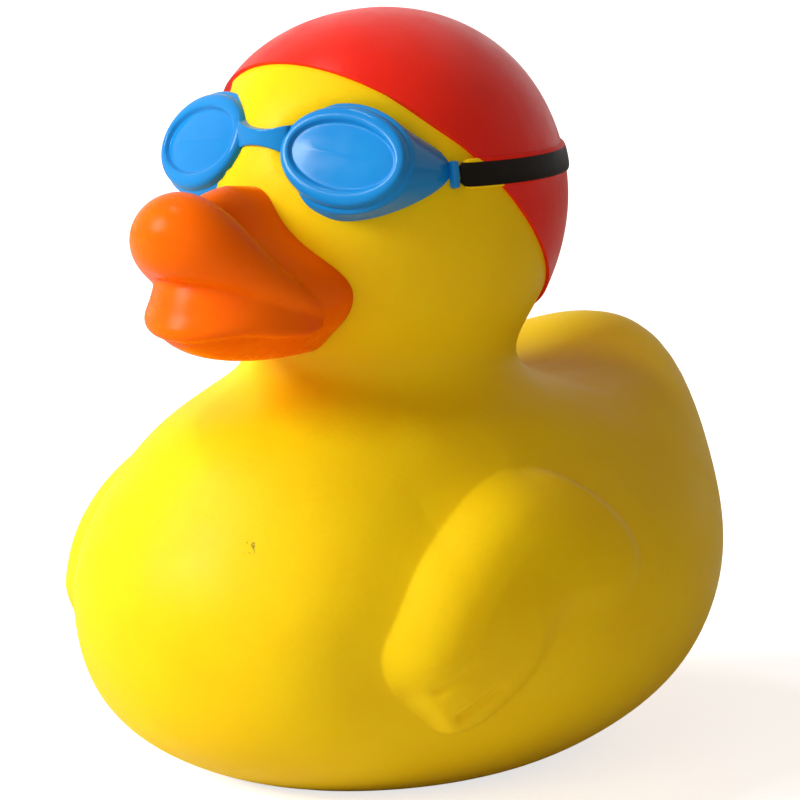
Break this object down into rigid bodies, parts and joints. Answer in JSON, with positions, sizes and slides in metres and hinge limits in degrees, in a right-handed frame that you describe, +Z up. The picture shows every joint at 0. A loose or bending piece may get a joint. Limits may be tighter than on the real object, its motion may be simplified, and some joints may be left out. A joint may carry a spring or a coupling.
{
  "type": "rubber duck",
  "caption": "Hollow vinyl bath duck with a swim cap, goggles with a strap, a thick-lipped bill and wings moulded on; it floats in a bath or stands on its flat foot.",
  "frame": {"origin": "middle of the bounding box's bottom, on the plane of the flat foot", "axes": "+Z up, -Y the way the bill points, +X the duck's left"},
  "size_m": [0.0684, 0.0754, 0.0811],
  "materials": {
    "vinyl": "satin yellow soft vinyl; the cap is painted red, the goggles blue, the strap black and the bill orange"
  },
  "bodies": {
    "root": {"duck_body": "vinyl"}
  },
  "joints": []
}
